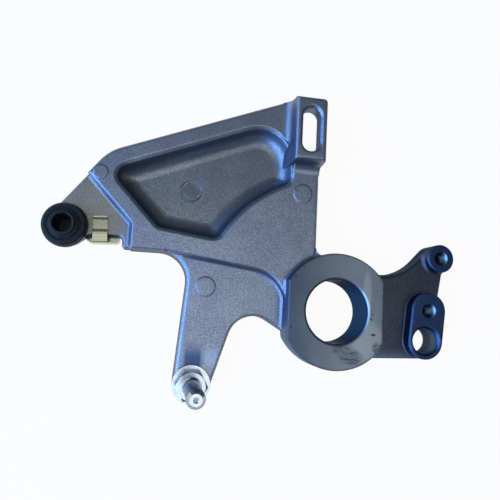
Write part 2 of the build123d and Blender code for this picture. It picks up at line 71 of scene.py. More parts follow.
# %% Sizes of the real pieces
BOSS_FRONT, BOSS_R, BORE_R = 19.0, 25.4, 14.0
PLATE_FRONT, LEG_FRONT, POCKET_FLOOR = 13.0, 8.0, 5.0
LUG_FRONT = 22.0
LUG_LEFT, LEFT_DRAFT = -22.3, 8.0
LUG_LOW, LOW_DRAFT = 65.6, 4.5
PIN_X, PIN_Y = -60.6, -34.1
SHAFT_FOOT, SHAFT_TIP = 17.0, 43.5
SCREW_HOLES = (("sensor_thread", 45.6, 2.6, 12.2), ("line_thread", 52.5, 27.4, 10.2))
SCREW_HOLE_FOOT, SCREW_PITCH, THREAD_R = 0.6, 1.0, 2.72
SENSOR_BORE = (44.2, -11.2, 7.0)
print("boss", BOSS_FRONT, "plate", PLATE_FRONT, "lug", LUG_FRONT, "mm thick")

# %% [markdown]
# ## Camera
# The photograph was taken from above the bracket's left half, nearly square to its face. A plain
# pinhole camera repeats it: its place is given in the bracket's own frame, and its turn by the
# three directions right, up and back, each measured along the same axes. The lens is as long as
# the sensor is wide.


# %% Camera
def add_object(name, data):
    """A new object in the scene."""
    obj = bpy.data.objects.new(name, data)
    bpy.context.scene.collection.objects.link(obj)
    return obj


SENSOR = 36.0
camera_data = bpy.data.cameras.new("camera")
camera_data.sensor_width = SENSOR
camera_data.sensor_fit = "HORIZONTAL"
camera_data.lens = SENSOR
camera_data.clip_start = 0.01
camera = add_object("camera", camera_data)
camera_right = Vector((0.98426137, 0.05330569, 0.16848759))
camera_up = Vector((-0.0724687, 0.991318, 0.10971285))
camera_back = Vector((-0.16117646, -0.12019619, 0.979579))
camera_place = Vector((-74.21856, -1.60441, 227.77493)) * MM
turn = Matrix((camera_right, camera_up, camera_back)).transposed()
camera.matrix_world = Matrix.Translation(camera_place) @ turn.to_4x4()
bpy.context.scene.camera = camera
print("camera at", tuple(round(value, 4) for value in camera_place))

# %% [markdown]
# ## Cutters for the casting
# On the real casting the pocket runs straight into the lug's left wall, and the lug's lower foot
# ends flush with the plate's side. The boss's lower right rim has also taken a knock that left a
# small flat. All three are cuts, so a boolean makes them. The cutters are plain prisms drawn from
# the casting's own sizes. The lug's walls lean by their draft, so a cutter that meets one leans
# with it.


# %% Prisms and cuts
def mesh_object(name, mesh):
    """An object of a bmesh, which is freed."""
    data = bpy.data.meshes.new(name)
    mesh.to_mesh(data)
    mesh.free()
    return add_object(name, data)


def plain_mesh(obj):
    """A mesh of the object as its modifiers leave it."""
    bpy.context.view_layer.update()
    graph = bpy.context.evaluated_depsgraph_get()
    return bpy.data.meshes.new_from_object(obj.evaluated_get(graph))


def prism(name, outline, low, high, flare=0.0, centre=(0.0, 0.0)):
    """A closed prism on an outline. The flare moves its top outline away from a centre."""
    mesh = bmesh.new()
    lower = [mesh.verts.new((x * MM, y * MM, low * MM)) for x, y in outline]
    upper = []
    for x, y in outline:
        away = Vector((x - centre[0], y - centre[1])).normalized() * flare
        upper.append(mesh.verts.new(((x + away.x) * MM, (y + away.y) * MM, high * MM)))
    mesh.faces.new(reversed(lower))
    mesh.faces.new(upper)
    for i in range(len(outline)):
        j = (i + 1) % len(outline)
        mesh.faces.new((lower[i], lower[j], upper[j], upper[i]))
    bmesh.ops.recalc_face_normals(mesh, faces=mesh.faces)
    return mesh_object(name, mesh)


def carve(obj, cutter, name):
    """A new object: obj with the cutter's shape taken away."""
    cut = obj.modifiers.new("cut", "BOOLEAN")
    cut.operation = "DIFFERENCE"
    cut.solver = "EXACT"
    cut.object = cutter
    data = plain_mesh(obj)
    obj.modifiers.remove(cut)
    return add_object(name, data)


def wall_x(height):
    """Where the lug's drafted left wall stands at a height."""
    return LUG_LEFT - (LUG_FRONT - height) * math.tan(math.radians(LEFT_DRAFT))


def wall_y(height):
    """Where the lug's drafted low wall stands at a height."""
    return LUG_LOW - (LUG_FRONT - height) * math.tan(math.radians(LOW_DRAFT))


print("the lug's left wall leans", round(wall_x(LUG_FRONT) - wall_x(PLATE_FRONT), 2), "mm")

# %% [markdown]
# The first cutter is the pocket's round right end, carried upwards. The lug itself has to stay, so
# a block with the lug's two leaning walls is taken out of the cutter before it cuts. The second is
# a thin strip along the plate's side, and the third a small wedge at the boss's rim.

# %% Cutters
MOUTH_X, MOUTH_Y, MOUTH_R = -36.3, 65.8, 15.0
MOUTH_LEFT, MOUTH_NEAR = -32.5, 59.7
mouth_end = [(MOUTH_LEFT, MOUTH_NEAR), (-21.3, MOUTH_NEAR)]
for degrees in range(0, 75, 3):
    angle = math.radians(degrees)
    mouth_end.append((MOUTH_X + MOUTH_R * math.cos(angle), MOUTH_Y + MOUTH_R * math.sin(angle)))
mouth_end.append((MOUTH_LEFT, mouth_end[-1][1]))
mouth_cutter = prism("mouth_cutter", mouth_end, 12.0, 19.0, flare=1.2, centre=(-38.0, 66.0))

KEEP_LOW, KEEP_HIGH, KEEP_RIGHT, KEEP_FAR = 11.0, 20.0, -5.0, 97.0
left, near = wall_x(KEEP_LOW), wall_y(KEEP_LOW)
lug_foot = [(left, near), (KEEP_RIGHT, near), (KEEP_RIGHT, KEEP_FAR), (left, KEEP_FAR)]
lug_keep = prism("lug_keep", lug_foot, KEEP_LOW, KEEP_HIGH)
for (x, y), vertex in zip(lug_foot, list(lug_keep.data.vertices)[len(lug_foot) :]):
    if x == left:
        vertex.co.x = wall_x(KEEP_HIGH) * MM
    if y == near:
        vertex.co.y = wall_y(KEEP_HIGH) * MM
foot_cutter = carve(mouth_cutter, lug_keep, "foot_cutter")

STRIP_LEFT, STRIP_RIGHT, STRIP_NEAR, STRIP_LOW, STRIP_HIGH = -8.8, -6.0, 56.0, 8.0, 18.0
far = wall_y(STRIP_LOW)
side_strip = [(STRIP_LEFT, STRIP_NEAR), (STRIP_RIGHT, STRIP_NEAR)]
side_strip += [(STRIP_RIGHT, far), (STRIP_LEFT, far)]
side_cutter = prism("side_cutter", side_strip, STRIP_LOW, STRIP_HIGH)
for vertex in list(side_cutter.data.vertices)[6:]:
    vertex.co.y = wall_y(STRIP_HIGH) * MM

knock = [(23.0, -9.8), (25.0, -20.0), (15.4, -22.4), (20.9, -14.9)]
knock_cutter = prism("knock_cutter", knock, 17.5, 19.6, flare=-1.7, centre=(16.0, -12.0))
print("cutters:", [len(o.data.polygons) for o in (foot_cutter, side_cutter, knock_cutter)])

# %% [markdown]
# ## Trimmed casting
# A CAD mesh is made of loose triangles, and a boolean needs a closed skin, so a copy is merged
# before it is cut. Cutting loses the fine shading that the CAD model gives its rounded edges. It
# could be worked out anew, but long thin triangles then shade badly. So each corner that still
# lies on the CAD surface takes the shading found there.

# %% Trimmed casting
MERGE, ON_SURFACE, SAME_WAY, INWARDS = 0.0001, 0.002, 0.999, 0.03


def merged_copy(node, name):
    """A copy of a CAD node whose loose triangles are joined along their edges."""
    mesh = bmesh.new()
    mesh.from_mesh(node.data)
    bmesh.ops.remove_doubles(mesh, verts=mesh.verts, dist=MERGE * MM)
    return mesh_object(name, mesh)


def keep_shading(made, node):
    """Give the faces that the cuts left in place the CAD node's shading. Returns how many."""
    data = node.data
    data.calc_loop_triangles()
    places = [vertex.co for vertex in data.vertices]
    triangles = [(tuple(item.vertices), tuple(item.loops)) for item in data.loop_triangles]
    shading = [corner.vector.copy() for corner in data.corner_normals]
    tree = BVHTree.FromPolygons(places, [corners for corners, loops in triangles])
    normals = [None] * len(made.data.loops)
    kept = 0
    for face in made.data.polygons:
        for index in face.loop_indices:
            corner_at = made.data.vertices[made.data.loops[index].vertex_index].co
            hit, normal, found, gap = tree.find_nearest(corner_at.lerp(face.center, INWARDS))
            normals[index] = face.normal.copy()
            if gap < ON_SURFACE * MM and normal.dot(face.normal) > SAME_WAY:
                corners, loops = triangles[found]
                shares = poly_3d_calc([places[corner] for corner in corners], hit)
                weighted = (shading[loop] * share for loop, share in zip(loops, shares))
                normals[index] = sum(weighted, Vector()).normalized()
                kept += 1
    made.data.polygons.foreach_set("use_smooth", [True] * len(made.data.polygons))
    made.data.normals_split_custom_set(normals)
    return kept


casting = merged_copy(nodes["bracket"], "casting_0")
for step, cutter in enumerate((foot_cutter, side_cutter, knock_cutter), start=1):
    rough_casting = casting
    casting = carve(rough_casting, cutter, "casting_" + str(step))
    bpy.data.objects.remove(rough_casting)
for spent in (mouth_cutter, lug_keep, foot_cutter, side_cutter, knock_cutter):
    bpy.data.objects.remove(spent)
casting.name = "bracket_trimmed"
corners_kept = keep_shading(casting, nodes["bracket"])
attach(casting, "root")
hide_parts("bracket")
print("trimmed casting:", len(casting.data.polygons), "faces,", corners_kept, "corners kept")

# %% [markdown]
# ## Node tools
# Materials here are built from nodes. A few small helpers keep each recipe short: one adds a node
# and sets its values, one joins sockets, and one makes a node group with named inputs. The others
# are masks and mixes: a mask is 1 where a finish shows and 0 where it doesn't.

# %% Node tools
WHITE = (1.0, 1.0, 1.0)


def add_node(tree, kind, **values):
    """A new node. Values named like its properties are set there, the rest on its inputs."""
    node = tree.nodes.new(kind)
    for name, value in values.items():
        if hasattr(node, name):
            setattr(node, name, value)
        else:
            node.inputs[name.replace("_", " ")].default_value = value
    return node


def join(tree, source, target):
    """One link between two sockets."""
    tree.links.new(source, target)


def feed(tree, node, **sources):
    """Links to a node's inputs by name. Returns the node."""
    for name, source in sources.items():
        tree.links.new(source, node.inputs[name.replace("_", " ")])
    return node


def math_node(tree, operation, first, second=None, clamp=False):
    """One Math node. Each operand is a socket or a number."""
    node = add_node(tree, "ShaderNodeMath", operation=operation, use_clamp=clamp)
    for slot, value in zip(node.inputs, (first, second)):
        if isinstance(value, (int, float)):
            slot.default_value = value
        elif value is not None:
            tree.links.new(value, slot)
    return node.outputs[0]


def times(tree, *factors):
    """The product of sockets and numbers."""
    product = factors[0]
    for factor in factors[1:]:
        product = math_node(tree, "MULTIPLY", product, factor)
    return product


def ramp(tree, source, low, high, invert=False):
    """A mask: a smooth step from 0 to 1 as a value goes from low to high, or the other way."""
    node = add_node(tree, "ShaderNodeMapRange", interpolation_type="SMOOTHSTEP")
    ends = (low, high, 1.0, 0.0) if invert else (low, high, 0.0, 1.0)
    for label, value in zip(("From Min", "From Max", "To Min", "To Max"), ends):
        node.inputs[label].default_value = value
    tree.links.new(source, node.inputs["Value"])
    return node.outputs["Result"]


def rise(tree, distance, low, high):
    """A mask that rises as a distance goes from low to high, in millimetres."""
    return ramp(tree, distance, low * MM, high * MM)


def fall(tree, distance, low, high):
    """A mask that falls as a distance goes from low to high, in millimetres."""
    return ramp(tree, distance, low * MM, high * MM, invert=True)


def band(tree, distance, rising, falling):
    """A mask that rises over one stretch of a distance and falls over a later one."""
    return times(tree, rise(tree, distance, *rising), fall(tree, distance, *falling))


def between(tree, share, first, second):
    """A number that goes from the first to the second as a share goes from 0 to 1."""
    node = tree.nodes.new("ShaderNodeMapRange")
    node.inputs["To Min"].default_value = first
    node.inputs["To Max"].default_value = second
    return feed(tree, node, Value=share).outputs[0]


def mix_color(tree, factor, first, second, blend="MIX"):
    """A mix of two colours. Each one is a socket or a red, a green and a blue."""
    node = add_node(tree, "ShaderNodeMix", data_type="RGBA", blend_type=blend)
    factor_slot, first_slot, second_slot = node.inputs[0], node.inputs[6], node.inputs[7]
    for slot, value in ((factor_slot, factor), (first_slot, first), (second_slot, second)):
        if isinstance(value, tuple):
            slot.default_value = (*value, 1.0)
        elif isinstance(value, float):
            slot.default_value = value
        else:
            tree.links.new(value, slot)
    return node.outputs[2]


def tinted(tree, color, mask, tint):
    """A colour that is multiplied by a tint where the mask is 1."""
    return mix_color(tree, 1.0, color, mix_color(tree, mask, WHITE, tint), "MULTIPLY")


def painted(tree, color, mask, share, paint):
    """A colour that gives way to another by a share of it where the mask is 1."""
    return mix_color(tree, times(tree, mask, share), color, paint)


print("node tools ready")

# %% [markdown]
# A node group is made once and used in several materials with other values. The last helpers make
# one, use one, start a material, read the place on a piece, and put bumps on its softened edges.


# %% Groups and materials
def new_group(name, inputs, outputs):
    """An empty shader group with named sockets: name -> (socket kind, default value)."""
    group = bpy.data.node_groups.new(name, "ShaderNodeTree")
    for label, (kind, default) in inputs.items():
        socket = group.interface.new_socket(label, in_out="INPUT", socket_type=kind)
        socket.default_value = default
    for label, kind in outputs.items():
        group.interface.new_socket(label, in_out="OUTPUT", socket_type=kind)
    return group, group.nodes.new("NodeGroupInput").outputs, group.nodes.new("NodeGroupOutput")


def use_group(tree, group, **values):
    """A group placed in a tree with its own values."""
    node = tree.nodes.new("ShaderNodeGroup")
    node.node_tree = group
    for name, value in values.items():
        node.inputs[name].default_value = value
    return node


def new_material(name, metallic=0.0):
    """A material with its node tree and its shader."""
    material = bpy.data.materials.new(name)
    material.use_nodes = True
    shader = material.node_tree.nodes["Principled BSDF"]
    shader.inputs["Metallic"].default_value = metallic
    return material, material.node_tree, shader


def dress(obj, material):
    """The object wears this material and no other."""
    obj.data.materials.clear()
    obj.data.materials.append(material)


def object_place(tree):
    """The place on the piece, measured in its own frame."""
    return tree.nodes.new("ShaderNodeTexCoord").outputs["Object"]


def parts(tree, vector):
    """The X, Y and Z of a vector."""
    node = tree.nodes.new("ShaderNodeSeparateXYZ")
    join(tree, vector, node.inputs[0])
    return node.outputs["X"], node.outputs["Y"], node.outputs["Z"]


def upward(tree):
    """How far the surface faces up: 1 on a flat top, 0 on an upright wall."""
    return parts(tree, tree.nodes.new("ShaderNodeNewGeometry").outputs["Normal"])[2]


def relief(tree, shader, height, edges, strength, distance):
    """Bumps of a height, up to a distance in millimetres, on top of softened edges."""
    bump = add_node(tree, "ShaderNodeBump", Strength=strength, Distance=distance * MM)
    feed(tree, bump, Height=height, Normal=edges.outputs["Normal"])
    feed(tree, shader, Normal=bump.outputs["Normal"])


print("material tools ready")

# %% [markdown]
# ## Grain
# Die-cast and blasted metal has a fine, even grain. Two noises at different scales give the height
# of it, and the finer one also gives a mask of light and dark specks.

# %% Grain
FLOAT, VECTOR = "NodeSocketFloat", "NodeSocketVector"
COARSER = 0.35

grain, grain_in, grain_out = new_group(
    "grain",
    {"Scale": (FLOAT, 1000.0), "Coarse": (FLOAT, 0.4), "Detail": (FLOAT, 3.0)},
    {"Height": FLOAT, "Specks": FLOAT},
)
grain_place = object_place(grain)
fine = add_node(grain, "ShaderNodeTexNoise", Roughness=0.6)
coarse = add_node(grain, "ShaderNodeTexNoise", Roughness=0.5)
feed(grain, fine, Vector=grain_place, Scale=grain_in["Scale"], Detail=grain_in["Detail"])
feed(grain, coarse, Vector=grain_place, Scale=times(grain, grain_in["Scale"], COARSER))
blend_height = grain.nodes.new("ShaderNodeMix")
join(grain, grain_in["Coarse"], blend_height.inputs[0])
join(grain, fine.outputs["Fac"], blend_height.inputs[2])
join(grain, coarse.outputs["Fac"], blend_height.inputs[3])
specks = ramp(grain, fine.outputs["Fac"], 0.36, 0.66)
feed(grain, grain_out, Height=blend_height.outputs[0], Specks=specks)
print("grain:", len(grain.nodes), "nodes")

# %% [markdown]
# ## Soft edges
# A real edge is never quite sharp, and handling polishes it. A small bevel rounds the shading of
# every edge a little, and where its direction turns away from the surface's own, there is an edge.

# %% Soft edges
soft_edge, edge_in, edge_out = new_group(
    "soft_edge", {"Radius": (FLOAT, 0.0004)}, {"Normal": VECTOR, "Edge": FLOAT}
)
bevel = add_node(soft_edge, "ShaderNodeBevel", samples=6)
feed(soft_edge, bevel, Radius=edge_in["Radius"])
surface = soft_edge.nodes.new("ShaderNodeNewGeometry")
likeness = add_node(soft_edge, "ShaderNodeVectorMath", operation="DOT_PRODUCT")
join(soft_edge, bevel.outputs["Normal"], likeness.inputs[0])
join(soft_edge, surface.outputs["Normal"], likeness.inputs[1])
at_edge = ramp(soft_edge, likeness.outputs["Value"], 0.80, 0.99, invert=True)
feed(soft_edge, edge_out, Normal=bevel.outputs["Normal"], Edge=at_edge)
print("soft edge:", len(soft_edge.nodes), "nodes")

# %% [markdown]
# ## Spots
# A spot is a soft round mask at a place, for pits, scuffs and the walls of holes. A stretch makes
# it oval, and a stretch of 0 along one axis makes it endless there, as a hole needs it.

# %% Spots
ROUND, FLATTENED = (1.0, 1.0, 1.0), (1.0, 1.0, 0.0)

spot, spot_in, spot_out = new_group(
    "spot",
    {
        "Centre": (VECTOR, (0.0, 0.0, 0.0)),
        "Stretch": (VECTOR, ROUND),
        "Radius": (FLOAT, 0.001),
    },
    {"Mask": FLOAT},
)
from_centre = add_node(spot, "ShaderNodeVectorMath", operation="SUBTRACT")
join(spot, object_place(spot), from_centre.inputs[0])
join(spot, spot_in["Centre"], from_centre.inputs[1])
stretched = add_node(spot, "ShaderNodeVectorMath", operation="MULTIPLY")
join(spot, from_centre.outputs[0], stretched.inputs[0])
join(spot, spot_in["Stretch"], stretched.inputs[1])
distance = add_node(spot, "ShaderNodeVectorMath", operation="LENGTH")
join(spot, stretched.outputs[0], distance.inputs[0])
reach_share = math_node(spot, "DIVIDE", distance.outputs["Value"], spot_in["Radius"])
feed(spot, spot_out, Mask=ramp(spot, reach_share, 0.55, 1.0, invert=True))


def spots(tree, *rows):
    """One mask of several spots. Each row: centre and radius in millimetres, and stretch."""
    mask = None
    for centre, size, stretch in rows:
        at = [value * MM for value in centre]
        node = use_group(tree, spot, Centre=at, Radius=size * MM, Stretch=stretch)
        found = node.outputs[0]
        mask = found if mask is None else math_node(tree, "MAXIMUM", mask, found)
    return mask


print("groups:", [group.name for group in bpy.data.node_groups])

# %% [markdown]
# ## Cast aluminium: where the metal was machined
# The casting is a satin grey with a fine sparkle. Its boss is turned smooth in front and in the
# bore, so there the grain gives way to fine rings. Where the metal was machined is known from its
# place: the front of the boss lies at one height, within one radius of the bore's axis.

# %% Machined zones
cast, tree, shader = new_material("cast_aluminium", metallic=1.0)
cast_place = object_place(tree)
cast_x, cast_y, cast_z = parts(tree, cast_place)
cast_up = upward(tree)
flat = feed(tree, tree.nodes.new("ShaderNodeCombineXYZ"), X=cast_x, Y=cast_y).outputs[0]
from_bore = add_node(tree, "ShaderNodeVectorMath", operation="LENGTH")
join(tree, flat, from_bore.inputs[0])
radius = from_bore.outputs["Value"]
on_front = rise(tree, cast_z, BOSS_FRONT - 0.7, BOSS_FRONT - 0.5)
turned_face = times(tree, on_front, fall(tree, radius, BOSS_R + 0.1, BOSS_R + 0.3))
in_bore = fall(tree, radius, BORE_R + 0.1, BORE_R + 0.3)
machined = math_node(tree, "MAXIMUM", turned_face, in_bore)
print("machined within", BOSS_R, "mm of the axis")

# %% [markdown]
# ## Cast aluminium: the skin
# Dark and light specks make the sparkle, and a slow noise clouds them. What the satin skin mirrors
# is not the same all over: the sensor's arm looks duller, with bluer tops, the left arm warmer and
# the pocket's floor a little darker. Two lamps can't give all of it, so these are painted as tints
# by place, which end where the arms do: painted shade on the sensor's arm and the pocket's floor,
# a painted blue reflection on the arm's tops and a painted warm reflection on the left arm.

# %% Skin
casting_grain = use_group(tree, grain, Scale=1900.0, Coarse=0.30, Detail=2.0)
edges = use_group(tree, soft_edge, Radius=0.95 * MM)
blotches = add_node(tree, "ShaderNodeTexNoise", Scale=60.0, Detail=4.0, Roughness=0.6)
feed(tree, blotches, Vector=cast_place)
cloud = ramp(tree, blotches.outputs["Fac"], 0.35, 0.7)
clouded = mix_color(tree, cloud, (0.90, 0.90, 0.90), (1.06, 1.05, 1.02))
specks = casting_grain.outputs["Specks"]
skin = mix_color(tree, specks, (0.228, 0.246, 0.288), (0.358, 0.386, 0.452))
skin = mix_color(tree, 1.0, skin, clouded, "MULTIPLY")

# Painted shade makes the sensor's arm duller, and a painted blue reflection lies on its tops.
sensor_arm = rise(tree, cast_x, 20.8, 22.4)
arm_top = rise(tree, cast_z, 10.9, 11.6)
arm_shade_and_reflection = mix_color(tree, arm_top, (0.33, 0.32, 0.34), (0.16, 0.27, 0.50))
skin = tinted(tree, skin, sensor_arm, arm_shade_and_reflection)
# Painted shade darkens the pocket's floor.
in_pocket = times(tree, fall(tree, cast_z, 5.4, 8.0), rise(tree, cast_x, -97.0, -92.0))
skin = tinted(tree, skin, in_pocket, (0.80, 0.78, 0.72))
# A painted warm reflection lies on the upward faces of the left arm.
left_arm = times(tree, fall(tree, cast_z, 11.2, 12.2), fall(tree, cast_x, -99.0, -90.0))
left_arm = times(tree, left_arm, ramp(tree, cast_up, 0.5, 0.9))
skin = tinted(tree, skin, left_arm, (1.18, 0.98, 0.70))
skin = painted(tree, skin, edges.outputs["Edge"], 0.3, (0.58, 0.62, 0.70))
print("skin:", len(tree.nodes), "nodes so far")

# %% [markdown]
# ## Cast aluminium: the painted reflection of the pin
# The leg mirrors the pin as a dark blurred band above its flange, and looks pale to the right of
# it. Rough metal under a plain light shows no such band, so both are painted reflections, a dark
# band and a pale patch, along the casting's own axes.

# %% Painted reflection of the pin
on_leg = band(tree, cast_z, (LEG_FRONT - 0.7, LEG_FRONT - 0.2), (LEG_FRONT + 0.2, LEG_FRONT + 0.7))
near_pin = fall(tree, cast_y, -23.5, -14.5)
# Painted reflection: a dark band on the leg above the pin's flange, as wide as the pin.
painted_pin_reflection = times(tree, band(tree, cast_x, (-65.4, -63.2), (-58.0, -55.9)), on_leg, near_pin)
skin = painted(tree, skin, painted_pin_reflection, 0.92, (0.045, 0.085, 0.190))
# Painted pale reflection on the leg to the right of the band.
painted_pale_reflection = times(tree, rise(tree, cast_x, -56.4, -54.4), rise(tree, cast_y, -29.0, -24.0))
skin = painted(tree, skin, times(tree, painted_pale_reflection, on_leg, near_pin), 0.6, (0.36, 0.45, 0.64))
print("film:", len(tree.nodes), "nodes so far")

# %% [markdown]
# ## Cast aluminium: marks on the boss
# The turned front has a few pits, a row of specks near its right side, and dark scuffs below the
# bore and on the knock at its rim. Pits have known places. The specks and the scuffs are noise,
# stretched into strokes, that shows only inside a few spots.

# %% Marks on the boss
PITS = (
    (-19.0, 14.2, 0.45, ROUND),
    (-15.5, 18.0, 0.35, ROUND),
    (18.1, 9.9, 0.35, ROUND),
    (-20.3, -7.7, 0.35, ROUND),
    (16.2, -0.6, 0.55, (1.4, 1.0, 1.0)),
    (15.6, -2.6, 0.45, (1.0, 0.6, 1.0)),
    (16.7, -9.3, 0.95, (0.7, 1.6, 1.0)),
)
pits = spots(tree, *(((x, y, BOSS_FRONT), size, stretch) for x, y, size, stretch in PITS))
speck_row = spots(tree, ((15.2, 4.5, BOSS_FRONT), 10.0, (18.0, 1.0, 1.0)))
speck_row = times(tree, speck_row, ramp(tree, casting_grain.outputs["Height"], 0.55, 0.60))
strokes_turn, strokes_scale = (0.0, 0.0, math.radians(28.0)), (420.0, 2600.0, 400.0)
stroke_map = add_node(tree, "ShaderNodeMapping", Rotation=strokes_turn, Scale=strokes_scale)
feed(tree, stroke_map, Vector=cast_place)
stroke_noise = add_node(tree, "ShaderNodeTexNoise", Scale=1.0, Detail=4.0, Roughness=0.75)
feed(tree, stroke_noise, Vector=stroke_map.outputs[0])
scuff_zone = spots(
    tree,
    ((2.3, -16.4, BOSS_FRONT), 4.2, (0.8, 1.5, 1.0)),
    ((6.6, -19.2, BOSS_FRONT), 5.2, (0.8, 1.2, 1.0)),
    ((18.6, -14.9, BOSS_FRONT - 0.6), 3.2, (1.0, 1.0, 0.6)),
)
scuffs = times(tree, scuff_zone, ramp(tree, stroke_noise.outputs["Fac"], 0.34, 0.66), 0.95)
marks = math_node(tree, "MAXIMUM", math_node(tree, "MAXIMUM", pits, speck_row), scuffs)
print("pits:", len(PITS))

# %% [markdown]
# ## Cast aluminium: turned metal and holes
# Turned metal mirrors the room, so the boss's front is painted with a reflection that goes from
# dark on the left to light on the right, with a pale streak. The bore is painted dark as shade,
# lighter and bluer towards its right side, and the deep walls of the sensor's bore and of both
# screw holes are painted dark as shade, with a painted highlight on their right side near their
# mouths.

# %% Turned metal and holes
# Painted reflection: the boss's front goes from dark on the left to light on the right.
turned = mix_color(
    tree, rise(tree, cast_x, -24.0, 12.0), (0.090, 0.115, 0.155), (0.300, 0.335, 0.365)
)
turned = mix_color(tree, 1.0, turned, clouded, "MULTIPLY")
# A painted pale streak of reflection across the boss's front.
painted_streak = spots(
    tree,
    ((13.4, 8.0, BOSS_FRONT), 13.0, (5.0, 1.0, 1.0)),
    ((14.0, -12.0, BOSS_FRONT), 11.0, (1.2, 1.0, 1.0)),
)
turned = painted(tree, turned, painted_streak, 0.6, (0.52, 0.56, 0.55))
turned = painted(tree, turned, marks, 0.85, (0.035, 0.040, 0.050))
# Painted shade in the bore, lighter and bluer towards its right side.
painted_bore_shade = mix_color(
    tree, rise(tree, cast_x, 5.0, 12.0), (0.030, 0.024, 0.018), (0.052, 0.080, 0.145)
)
turned = mix_color(tree, in_bore, turned, painted_bore_shade)

# Painted shade on the deep wall of the sensor's bore, with a painted highlight on its right side
# near the mouth.
near_mouth = rise(tree, cast_z, 5.0, 10.5)
lit = times(tree, rise(tree, cast_x, 44.0, 49.8), near_mouth)
painted_sensor_bore_shade = mix_color(tree, lit, (0.016, 0.020, 0.028), (0.16, 0.34, 0.52))
skin = mix_color(tree, spots(tree, (SENSOR_BORE, 6.9, FLATTENED)), skin, painted_sensor_bore_shade)
upright = ramp(tree, math_node(tree, "ABSOLUTE", cast_up), 0.4, 0.9, invert=True)
# Painted shade on each screw hole's wall, with a painted highlight on its right side near the
# mouth.
for _, x, y, _ in SCREW_HOLES:
    in_hole = times(tree, spots(tree, ((x, y, SENSOR_BORE[2]), 5.0, FLATTENED)), upright)
    lit = times(tree, rise(tree, cast_x, x + 0.6, x + 2.8), near_mouth)
    painted_hole_shade = mix_color(tree, lit, (0.012, 0.015, 0.022), (0.60, 0.84, 0.90))
    skin = mix_color(tree, in_hole, skin, painted_hole_shade)
feed(tree, shader, Base_Color=mix_color(tree, machined, skin, turned))
shader.inputs["Specular Tint"].default_value = (0.30, 0.36, 0.48, 1.0)
print("colours:", len(tree.nodes), "nodes so far")

# %% [markdown]
# ## Cast aluminium: roughness and relief
# The skin's relief is its grain. Turned faces keep hardly any of it, and show faint rings and the
# pits. The leg round the pin is wiped smoother by hands and tools.

# %% Roughness and relief
by_pin = spots(tree, ((PIN_X, PIN_Y, LEG_FRONT), 21.0, ROUND))
rough = between(tree, machined, 0.42, 0.40)
rough = math_node(tree, "SUBTRACT", rough, times(tree, by_pin, 0.05))
scatter = times(tree, math_node(tree, "SUBTRACT", specks, 0.5), 0.10)
feed(tree, shader, Roughness=math_node(tree, "SUBTRACT", rough, scatter))

rings = add_node(
    tree, "ShaderNodeTexWave", wave_type="RINGS", rings_direction="Z", Scale=900.0, Distortion=0.4
)
feed(tree, rings, Vector=flat)
smooth = math_node(tree, "MAXIMUM", times(tree, machined, 0.93), times(tree, by_pin, 0.6))
grain_left = math_node(tree, "SUBTRACT", 1.0, smooth)
grain_height = times(tree, casting_grain.outputs["Height"], grain_left)
ring_height = times(tree, rings.outputs["Fac"], turned_face, 0.03)
pit_depth = times(tree, pits, turned_face, 0.6)
height = math_node(tree, "ADD", grain_height, ring_height)
height = math_node(tree, "SUBTRACT", height, pit_depth)
relief(tree, shader, height, edges, strength=0.6, distance=0.14)
dress(nodes["bracket"], cast)
dress(casting, cast)
print("casting dressed in", cast.name)

# %% [markdown]
# ## Plated steel
# The slide pin is plated with zinc: nearly a mirror, with a faint haze and fine handling marks.
# Its flat faces mirror the bright room above, and its upright walls and its long shaft the dim
# room around, so a painted reflection makes the pin lighter off the shaft, and those walls and the
# shaft darker and cooler.

# %% Plated steel
steel, tree, shader = new_material("plated_steel", metallic=1.0)
plating = use_group(tree, grain, Scale=500.0, Coarse=0.5, Detail=2.0)
edges = use_group(tree, soft_edge, Radius=0.18 * MM)
pin_z = parts(tree, object_place(tree))[2]
tip_end = SHAFT_TIP + 1.0
on_shaft = band(tree, pin_z, (SHAFT_FOOT, SHAFT_FOOT + 1.5), (SHAFT_TIP, tip_end))
steep = ramp(tree, math_node(tree, "ABSOLUTE", upward(tree)), 0.15, 0.60, invert=True)
steep = times(tree, steep, fall(tree, pin_z, SHAFT_TIP, tip_end))
zinc = mix_color(tree, plating.outputs["Specks"], (0.40, 0.42, 0.46), (0.48, 0.49, 0.51))
# Painted reflection: lighter off the shaft, darker and cooler on the shaft.
painted_room_reflection = mix_color(tree, on_shaft, (1.34, 1.32, 1.24), (0.62, 0.70, 0.80))
zinc = mix_color(tree, 1.0, zinc, painted_room_reflection, "MULTIPLY")
# Painted reflection: upright walls darker and cooler.
zinc = tinted(tree, zinc, steep, (0.30, 0.38, 0.52))
zinc = painted(tree, zinc, edges.outputs["Edge"], 0.5, (0.85, 0.84, 0.80))
haze = between(tree, plating.outputs["Height"], 0.13, 0.19)
feed(tree, shader, Base_Color=zinc, Roughness=haze)
shader.inputs["Specular Tint"].default_value = (0.34, 0.42, 0.54, 1.0)
relief(tree, shader, plating.outputs["Height"], edges, strength=0.1, distance=0.03)
dress(nodes["slide_pin"], steel)
print("slide pin dressed in", steel.name)

# %% [markdown]
# ## Black rubber
# The boot is moulded rubber, smooth and a little greasy, with edges that wear to a dark grey.

